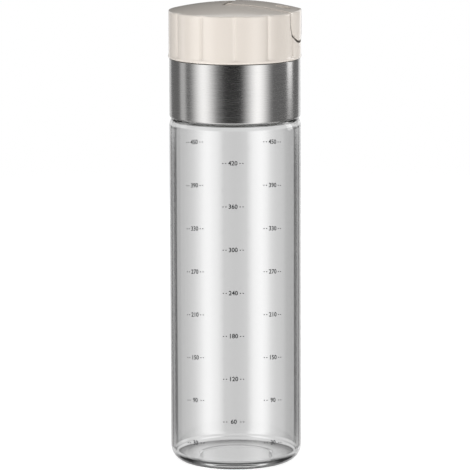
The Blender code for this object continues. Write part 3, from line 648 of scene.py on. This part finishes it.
def lobe_push(angle):
    """Inward push at an angle from the lid: none on a lobe's crest, most in a groove."""
    half = math.pi / LOBES
    across = abs((angle + half) % (2.0 * half) - half) / half
    groove = max(0.0, 1.0 - (1.0 - across) / GROOVE_WIDTH)
    return LOBE_BULGE * across ** 2 + GROOVE_DEPTH * groove ** 2 * (3.0 - 2.0 * groove)


top_outline = dome_and_edge(cap_top)
edge_foot = top_outline[-1].z
outline = [Vector((0.0, 0.0, cap_bottom))]
outline += arc(cap_radius - LIP_ROUND, cap_bottom + LIP_ROUND, LIP_ROUND, -90.0, 0.0, 6)
outline += [Vector((cap_radius, 0.0, cap_bottom + LIP_TOP + RUN_OUT * step / 8)) for step in range(9)]
side_foot = cap_bottom + SIDE_START
outline += [Vector((cap_radius, 0.0, side_foot + (edge_foot - side_foot) * step / 8)) for step in range(8)]
outline += reversed(top_outline)
shape = spun(outline, LOBES * STEPS_PER_LOBE, closed=False)
for vertex in shape.verts:
    radius = math.hypot(vertex.co.x, vertex.co.y) / MM
    share = lobe_share(vertex.co.z / MM)
    if radius > cap_radius - CAP_EDGE and share > 0.0:
        shrink = 1.0 - share * lobe_push(math.atan2(vertex.co.y, vertex.co.x)) / radius
        vertex.co.x *= shrink
        vertex.co.y *= shrink
blank = to_object("cap_blank", shape)

hollow = to_object("cap_hollow", spun(rounded([
    (0.0, CAP_CEILING), (CAP_INSIDE, CAP_CEILING, 2.0), (CAP_INSIDE, cap_bottom - PAST),
    (0.0, cap_bottom - PAST)]), 192, closed=False))
tub_side = LID_HALF_WIDTH + SIDE_GAP + CHANNEL_WALL
hollow = carved("cap_hollow", hollow, [('DIFFERENCE', box_between(
    "channel_tub", (CHANNEL_END - CHANNEL_WALL, -tub_side, CHANNEL_UNDERSIDE),
    (cap_radius, tub_side, cap_top)))])
bed = to_object("channel_bed", spun(rounded([
    (0.0, CHANNEL_FLOOR), (WEB_RADIUS, CHANNEL_FLOOR), (WEB_RADIUS, cap_bottom), (0.0, cap_bottom)]),
    192, closed=False))
channel = carved("lid_channel", strip_prism("lid_channel", LID_HALF_WIDTH + SIDE_GAP, NOTCH_BOTTOM,
                                            CHANNEL_END), [('DIFFERENCE', bed)])
pin_reach = LID_HALF_WIDTH + SIDE_GAP + PIN_SEAT
cap = carved("cap_moulding", blank, [
    ('DIFFERENCE', hollow),
    ('DIFFERENCE', channel),
    ('DIFFERENCE', rod("pin_hole", PIN_RADIUS + GAP, 2.0 * pin_reach, (0.0, 0.0, hinge_height), True)),
    ('DIFFERENCE', rod("spout_hole", SPOUT_RADIUS + GAP, HOLE_LENGTH, (SPOUT_REACH, 0.0, CHANNEL_FLOOR))),
    ('DIFFERENCE', rod("vent_hole", VENT_RADIUS + GAP, HOLE_LENGTH, (VENT_REACH, 0.0, CHANNEL_FLOOR)))])
keep(turn_to_lid(soften(cap, cap_top, CHANNEL_BEVEL)), cream, "closure", ["cap_shell"],
     sharp=30.0)

# %% [markdown]
# ## The flip lid
#
# The lid is a strip that fills the channel: a knuckle on the hinge pin in the middle of
# the cap, a top that stands a little above the cap's dome, a bend over the edge, and a tab
# with a round tip for the thumb. A turned ring gives the dome, bend and tab at once, and
# the strip's outline is cut from it. A round hole in it shows the head of the plug.

# %% Carve the lid
INNER_BEND = 1.3
TAB_RUN = 3.0           # how far the turned blank goes below the tab's tip
PLUG_HOLE, STEM_HOLE = 3.9, 1.3
underside = hinge_height - KNUCKLE_RADIUS
tab_inner = cap_radius - TAB_THICKNESS
outline = dome_and_edge(lid_top)
outline += [Vector((radius, 0.0, TAB_TIP - TAB_RUN)) for radius in (cap_radius, tab_inner)]
outline += arc(tab_inner - INNER_BEND, underside - INNER_BEND, INNER_BEND, 0.0, 90.0, 6)
outline += [Vector((0.0, 0.0, underside))]
lid = carved("lid_moulding", to_object("lid_blank", spun(outline, 384, closed=False)), [
    ('INTERSECT', strip_prism("lid_outline", LID_HALF_WIDTH, TAB_TIP, 0.0)),
    ('UNION', rod("lid_knuckle", KNUCKLE_RADIUS, 2.0 * LID_HALF_WIDTH, (0.0, 0.0, hinge_height), True)),
    ('DIFFERENCE', rod("pin_bore", PIN_RADIUS + GAP, 30.0, (0.0, 0.0, hinge_height), True)),
    ('DIFFERENCE', rod("plug_hole", PLUG_HOLE, 12.0, (SPOUT_REACH, 0.0, lid_top))),
    ('DIFFERENCE', rod("stem_hole", STEM_HOLE, 3.0, (VENT_REACH, 0.0, underside)))])
keep(turn_to_lid(soften(lid, lid_top, LID_BEVEL)), cream, "lid", ["flip_lid"],
     sharp=30.0)

# %% [markdown]
# ## Spout, plug and gasket
#
# Under the lid, a natural polypropylene spout stands in the channel. Its raised rim cuts
# the stream of oil cleanly. A silicone plug hangs from the lid into the spout, and a
# silicone gasket lies on the mouth of the glass. All three are turned, with the small
# roundings that moulded rubber and plastic have.

# %% Spin the spout, the plug and the gasket
RIM_RADIUS, RIM_HEIGHT = 5.1, 1.4
PLUG_HEAD, PLUG_FLANGE, PLUG_SHAFT, PLUG_TIP = 3.6, 3.95, 2.95, 2.35
PLUG_RECESS, PLUG_LENGTH, FLANGE_THICKNESS = 1.2, 3.0, 0.6
flange_top = underside - GAP
flange_bottom = flange_top - FLANGE_THICKNESS
spout_low = box_mm("pour_spout")[0].z
rim_foot = SPOUT_TOP - RIM_HEIGHT
spout = spun(rounded([(RIM_RADIUS, SPOUT_TOP, 0.6), (RIM_RADIUS, rim_foot, 0.3),
                      (SPOUT_RADIUS, rim_foot, 0.2), (SPOUT_RADIUS, spout_low), (SPOUT_BORE, spout_low),
                      (SPOUT_BORE, SPOUT_TOP, 0.3)]), 64)
plug_tip = flange_bottom - PLUG_LENGTH
head_top = dome_height(SPOUT_REACH, lid_top) - PLUG_RECESS
plug = spun(rounded([(0.0, head_top), (PLUG_HEAD, head_top, 0.5), (PLUG_HEAD, flange_top),
                     (PLUG_FLANGE, flange_top, 0.15), (PLUG_FLANGE, flange_bottom, 0.15),
                     (PLUG_SHAFT, flange_bottom), (PLUG_TIP, plug_tip, 0.4), (0.0, plug_tip)]),
            64, closed=False)
for shape in (spout, plug):
    bmesh.ops.translate(shape, verts=shape.verts, vec=(SPOUT_REACH * MM, 0.0, 0.0))
keep(turn_to_lid(to_object("spout_tube", spout)), natural, "closure", ["pour_spout"])
keep(turn_to_lid(to_object("plug_moulding", plug)), silicone, "lid", ["spout_plug"])
gasket_low, gasket_high = box_mm("neck_gasket")
outline = rounded([(gasket_high.x, gasket_high.z, 0.4), (gasket_high.x, gasket_low.z, 0.4),
                   (MOUTH_RADIUS - 1.0, gasket_low.z, 0.4), (MOUTH_RADIUS - 1.0, gasket_high.z, 0.4)])
keep(to_object("gasket_ring", spun(outline, 128)), silicone, "gasket", ["neck_gasket"])

# %% [markdown]
# ## Finishes for the frame's own nodes
#
# The pieces that stay as the frame made them are inside or small: the collar's core, the
# pour insert with its air chimney, two sealing rings, the pin and the air hole's pad.
# Their shapes are right, so they only get their materials.

# %% Finish the carried-over nodes
for node, finish in (("collar_core", natural), ("pour_insert", natural), ("insert_seal", silicone),
                     ("spout_seal", silicone), ("lid_pin", pin_steel), ("vent_plug", silicone)):
    mesh = frame["nodes"][node].data
    mesh.materials.clear()
    mesh.materials.append(finish)
    print(node, "gets", finish.name)

# %% [markdown]
# ## The camera
#
# The photograph was taken from about two metres away with a long lens, from a little
# above: the ellipses of the base and of the cap give a pitch of 9 degrees. The camera
# leans by a fifth of a degree, because the bottle leans that much in the photograph.

# %% Place the camera
CAMERA_DISTANCE, CAMERA_HEIGHT, AIM_HEIGHT = 2070.0, 445.2, 112.0
CAMERA_SIDE = -0.2
CAMERA_LENS = 327.5
CAMERA_ROLL = -0.0035
camera = bpy.data.objects.new("camera", bpy.data.cameras.new("camera"))
bpy.context.scene.collection.objects.link(camera)
bpy.context.scene.camera = camera
camera.data.lens = CAMERA_LENS
camera.location = Vector((CAMERA_SIDE, -CAMERA_DISTANCE, CAMERA_HEIGHT)) * MM
aim = Vector((CAMERA_SIDE, 0.0, AIM_HEIGHT)) * MM
look = (aim - camera.location).to_track_quat('-Z', 'Y').to_matrix()
camera.rotation_euler = (look @ Matrix.Rotation(CAMERA_ROLL, 3, 'Z')).to_euler()
print("camera", CAMERA_DISTANCE / 1000.0, "m away")

# %% [markdown]
# ## Studio light
#
# Four soft boxes light the matt surfaces. The strongest stands in front, a little to the
# left, and a weaker one in front, a little to the right. A narrow one at the right, a bit
# behind the bottle, lights the lid's tab and that edge of the cap. A low one stands
# behind. The first three reach from below the bottle to high above it, so that the rounded
# edge of the cap is as bright as its side. None of them shows in glass or steel, which get
# their own picture of the room in the next step.

# %% Make the soft boxes
def soft_box(name, azimuth, distance, width, height, centre_height, radiance):
    """An upright area light that faces the bottle, at an angle from the front."""
    lamp = bpy.data.lights.new(name, 'AREA')
    lamp.shape = 'RECTANGLE'
    lamp.size = width
    lamp.size_y = height
    lamp.energy = radiance * math.pi * width * height
    box = bpy.data.objects.new(name, lamp)
    bpy.context.scene.collection.objects.link(box)
    angle = math.radians(azimuth)
    box.location = (distance * math.sin(angle), -distance * math.cos(angle), centre_height)
    facing = Vector((-math.sin(angle), math.cos(angle), 0.0))
    box.rotation_euler = facing.to_track_quat('-Z', 'Y').to_euler()
    box.visible_camera = False
    box.visible_glossy = False
    lamp.cycles.use_multiple_importance_sampling = False
    return box


# name, angle from the front, distance, width, height, height of the middle, brightness
SOFT_BOXES = (("soft_box_left", -20.0, 1.2, 0.60, 1.8, 0.75, 2.15),
              ("soft_box_right", 15.0, 1.2, 0.42, 1.8, 0.75, 0.45),
              ("soft_box_side", 125.0, 1.2, 0.16, 1.5, 0.35, 11.0),
              ("soft_box_back", 180.0, 1.2, 0.80, 0.8, 0.10, 2.0))
for name, azimuth, distance, width, height, middle, brightness in SOFT_BOXES:
    soft_box(name, azimuth, distance, width, height, middle, brightness)
print("soft boxes:", len(SOFT_BOXES))

# %% [markdown]
# ## What glass and steel see
#
# Glass and steel only show what is around them, so the studio is part of their look. The
# world gives each kind of ray its own picture of the room. The camera sees white, and matt
# surfaces get an even grey. Mirror images get a dark room, with the tall soft boxes drawn
# in as bands with soft edges by their angle from the front, a bright ceiling and a bright
# table. The brushed collar turns those bands into its upright streaks of light.

# %% Helpers for the world, and the room that is mirrored
AMBIENT = 0.30
ROOM_LEVEL, FRONT_LEVEL, CEILING_LEVEL = 0.26, 0.05, 1.3
BACK_LEVEL, TABLE_LEVEL = 0.10, 2.0
# angle from the front in degrees, half width at the foot and at the top, brightness, lowest height
BANDS = ((-58.0, 33.0, 0.0, 2.05, -2.0), (41.5, 31.0, 0.0, 2.20, -2.0), (-105.0, 11.0, 5.0, 0.74, -2.0),
         (113.5, 9.5, 6.0, 2.85, -0.12), (-161.0, 12.0, 6.0, 0.60, -2.0), (161.0, 12.0, 6.0, 0.85, -2.0))
# where each soft edge starts and ends: degrees for the front, else a share of the direction
FRONT_MIDDLE, FRONT_EDGE, BAND_FOOT = -4.0, (11.0, 24.0), 0.08
CEILING_UP, CEILING_BACK = (0.46, 0.53), (-0.05, 0.25)
BACK_DEPTH, BACK_WIDTH = (0.80, 0.90), (0.10, 0.17)
TABLE_DOWN = (-0.85, -0.70)

world = bpy.data.worlds.new("studio")
bpy.context.scene.world = world
world.use_nodes = True
world.cycles.sampling_method = 'NONE'
tree = world.node_tree


def soft_step(tree, value, start, end, low=0.0, high=1.0):
    """A soft step of a value: low before start, high after end."""
    return add(tree, "ShaderNodeMapRange", {"Value": value, "From Min": start, "From Max": end,
                                            "To Min": low, "To Max": high},
               interpolation_type='SMOOTHSTEP').outputs[0]


def calculate(tree, operation, *values):
    """The result of one sum."""
    return add(tree, "ShaderNodeMath", dict(enumerate(values)), operation=operation).outputs[0]


def blend(tree, share, first, second):
    """A level between two, by a share."""
    return add(tree, "ShaderNodeMix", {"Factor": share, "A": first, "B": second}).outputs[0]


direction = add(tree, "ShaderNodeTexCoord").outputs["Generated"]
parts = add(tree, "ShaderNodeSeparateXYZ", {"Vector": direction}).outputs
azimuth = calculate(tree, 'ARCTAN2', parts["X"], calculate(tree, 'MULTIPLY', parts["Y"], -1.0))
degrees = calculate(tree, 'DEGREES', azimuth)
from_front = calculate(tree, 'ABSOLUTE', calculate(tree, 'SUBTRACT', degrees, FRONT_MIDDLE))
mirrored = soft_step(tree, from_front, *FRONT_EDGE, FRONT_LEVEL, ROOM_LEVEL)
for angle, foot, top, level, lowest in BANDS:
    off = calculate(tree, 'ABSOLUTE', calculate(tree, 'SUBTRACT', degrees, angle))
    strip = calculate(tree, 'MULTIPLY', soft_step(tree, off, foot, top, 0.0, level),
                      soft_step(tree, parts["Z"], lowest, lowest + BAND_FOOT))
    mirrored = calculate(tree, 'ADD', mirrored, strip)
ceiling = calculate(tree, 'MULTIPLY', soft_step(tree, parts["Z"], *CEILING_UP),
                    soft_step(tree, parts["Y"], *CEILING_BACK))
back = calculate(tree, 'MULTIPLY', soft_step(tree, parts["Y"], *BACK_DEPTH),
                 soft_step(tree, calculate(tree, 'ABSOLUTE', parts["X"]), *BACK_WIDTH, 1.0, 0.0))
table = soft_step(tree, parts["Z"], *TABLE_DOWN, 1.0, 0.0)
for share, level in ((back, BACK_LEVEL), (ceiling, CEILING_LEVEL), (table, TABLE_LEVEL)):
    mirrored = blend(tree, share, mirrored, level)
print("bands mirrored:", len(BANDS))

# %% [markdown]
# ## What is seen through glass
#
# Clear glass is visible by its dark lines. The curved wall bends the view sideways, by 4
# degrees a quarter of the way in and by up to 45 degrees near its edge. So the backdrop is
# bright just beside the middle, gets darker to both sides, and has a black gap on each side,
# and a second one further out. The second gap and the grey between them are for light that
# stays in one wall. It meets three surfaces, and light that crosses both walls meets four,
# so the two can be told apart. The picture holds for looks a little downwards, as in the
# photograph. For all others the backdrop is an even grey, and it is dark high up.

# %% Draw the backdrop and set the world
# degrees from straight behind, brightness seen through glass
SEEN = ((0.0, 0.61), (0.6, 0.65), (0.9, 0.86), (1.2, 0.92), (1.6, 0.96), (2.0, 0.90), (2.5, 0.76),
        (3.2, 0.66), (4.6, 0.59), (6.0, 0.45), (9.0, 0.37), (12.2, 0.30), (13.0, 0.02), (21.5, 0.02),
        (24.0, 0.33), (34.0, 0.33), (35.5, 0.02), (45.0, 0.02), (47.5, 0.60), (50.0, 0.72))
SEEN_REACH, SEEN_ELSEWHERE = 50.0, 0.72
BOTH_WALLS = 3.5                                # light that crosses both walls meets more surfaces
GAP_LEVEL, GAP_END = 0.06, (21.5, 24.0)         # such light's brightness in the gap, and the gap's end
LOOK_FROM, LOOK_TO = (-0.24, -0.215), (-0.125, -0.10)
UP, UP_SHARE = (0.30, 0.60), 0.15
DOWN, DOWN_SHARE = (-0.60, -0.30), 0.9

from_back = calculate(tree, 'SUBTRACT', 180.0, calculate(tree, 'ABSOLUTE', degrees))
ramp = add(tree, "ShaderNodeValToRGB", {"Fac": calculate(tree, 'DIVIDE', from_back, SEEN_REACH)})
while len(ramp.color_ramp.elements) < len(SEEN):
    ramp.color_ramp.elements.new(0.5)
for element, (angle, level) in zip(ramp.color_ramp.elements, SEEN):
    element.position = angle / SEEN_REACH
    element.color = (level, level, level, 1.0)
ray = add(tree, "ShaderNodeLightPath")
# the world counts one more than the surfaces met
crossed = calculate(tree, 'GREATER_THAN', ray.outputs["Ray Depth"], BOTH_WALLS + 1.0)
seen = calculate(tree, 'MAXIMUM', ramp.outputs[0], calculate(tree, 'MULTIPLY', crossed, GAP_LEVEL))
beside = calculate(tree, 'MULTIPLY', crossed, soft_step(tree, from_back, *GAP_END))
seen = blend(tree, beside, seen, SEEN_ELSEWHERE)
level_share = calculate(tree, 'MULTIPLY', soft_step(tree, parts["Z"], *LOOK_FROM),
                        soft_step(tree, parts["Z"], *LOOK_TO, 1.0, 0.0))
through = blend(tree, level_share, SEEN_ELSEWHERE, seen)
for share in (soft_step(tree, parts["Z"], *UP, 1.0, UP_SHARE),
              soft_step(tree, parts["Z"], *DOWN, DOWN_SHARE, 1.0)):
    through = calculate(tree, 'MULTIPLY', through, share)

light = blend(tree, ray.outputs["Is Glossy Ray"], AMBIENT, mirrored)
light = blend(tree, ray.outputs["Is Transmission Ray"], light, through)
light = blend(tree, ray.outputs["Is Camera Ray"], light, 1.0)
tree.links.new(light, tree.nodes["Background"].inputs["Color"])
print("backdrop drawn to", SEEN_REACH, "degrees on each side")

# %% [markdown]
# ## The floor
#
# A pale round floor fades out to the white background. It takes the soft shadow of the
# bottle, and a glow keeps it nearly white elsewhere. It lies a hair below the base.

# %% Lay the floor
FLOOR_RADIUS, FLOOR_FADE, FLOOR_GLOW, FLOOR_DROP = 1.0, 0.6, 0.86, 0.05
WHITE = linear("#FFFFFF")
floor_finish = bpy.data.materials.new("pale_floor")
floor_finish.use_nodes = True
tree = floor_finish.node_tree
tree.nodes.clear()
spot = add(tree, "ShaderNodeTexCoord").outputs["Object"]
reach = add(tree, "ShaderNodeVectorMath", {0: spot}, operation='LENGTH').outputs["Value"]
clear_share = soft_step(tree, reach, FLOOR_FADE, FLOOR_RADIUS)
matt = add(tree, "ShaderNodeBsdfDiffuse", {"Color": linear("#B4B4B4")}).outputs[0]
glow = add(tree, "ShaderNodeEmission", {"Color": WHITE, "Strength": FLOOR_GLOW}).outputs[0]
solid = add(tree, "ShaderNodeAddShader", {0: matt, 1: glow}).outputs[0]
nothing = add(tree, "ShaderNodeBsdfTransparent").outputs[0]
mixed = add(tree, "ShaderNodeMixShader", {"Fac": clear_share, 1: solid, 2: nothing}).outputs[0]
add(tree, "ShaderNodeOutputMaterial", {"Surface": mixed})
shape = bmesh.new()
bmesh.ops.create_circle(shape, cap_ends=True, radius=FLOOR_RADIUS, segments=96)
floor = to_object("floor", shape)
floor.data.materials.append(floor_finish)
floor.location.z = -FLOOR_DROP * MM
floor.visible_glossy = False
floor.visible_transmission = False
floor.visible_shadow = False
print("floor", 2.0 * FLOOR_RADIUS, "m across")

# %% [markdown]
# ## The shade under the base
#
# A bottle keeps the light off the table under its own rim, and its thick heel bends the
# view down onto that shade, which draws the dark curves in the base. A disc under the
# bottle stands for the table there: grey in the middle and nearly black at the rim. It is
# seen through the glass only.

# %% Lay the shade under the base
SHADE_RIM, SHADE_MIDDLE = 0.06, 0.55
SHADE_START, SHADE_FULL, SHADE_DROP = 16.0, 3.0, 0.1      # distances in from the glass, and down
shade_finish = bpy.data.materials.new("shade_under_base")
shade_finish.use_nodes = True
tree = shade_finish.node_tree
tree.nodes.clear()
spot = add(tree, "ShaderNodeTexCoord").outputs["Object"]
reach = add(tree, "ShaderNodeVectorMath", {0: spot}, operation='LENGTH').outputs["Value"]
level = soft_step(tree, reach, (body_radius - SHADE_START) * MM, (body_radius - SHADE_FULL) * MM,
                  SHADE_MIDDLE, SHADE_RIM)
glow = add(tree, "ShaderNodeEmission", {"Color": WHITE, "Strength": level}).outputs[0]
add(tree, "ShaderNodeOutputMaterial", {"Surface": glow})
shape = bmesh.new()
bmesh.ops.create_circle(shape, cap_ends=True, radius=body_radius * MM, segments=96)
shade_disc = to_object("shade_under_base", shape)
shade_disc.data.materials.append(shade_finish)
shade_disc.location.z = -SHADE_DROP * MM
shade_disc.visible_camera = False
shade_disc.visible_glossy = False
shade_disc.visible_diffuse = False
shade_disc.visible_shadow = False
print("shade", round(2.0 * body_radius, 1), "mm across")

# %% [markdown]
# ## Finish
#
# The view transform is set to Standard, so that a colour comes out as it is written.

# %% Finish
bpy.context.scene.view_settings.view_transform = 'Standard'
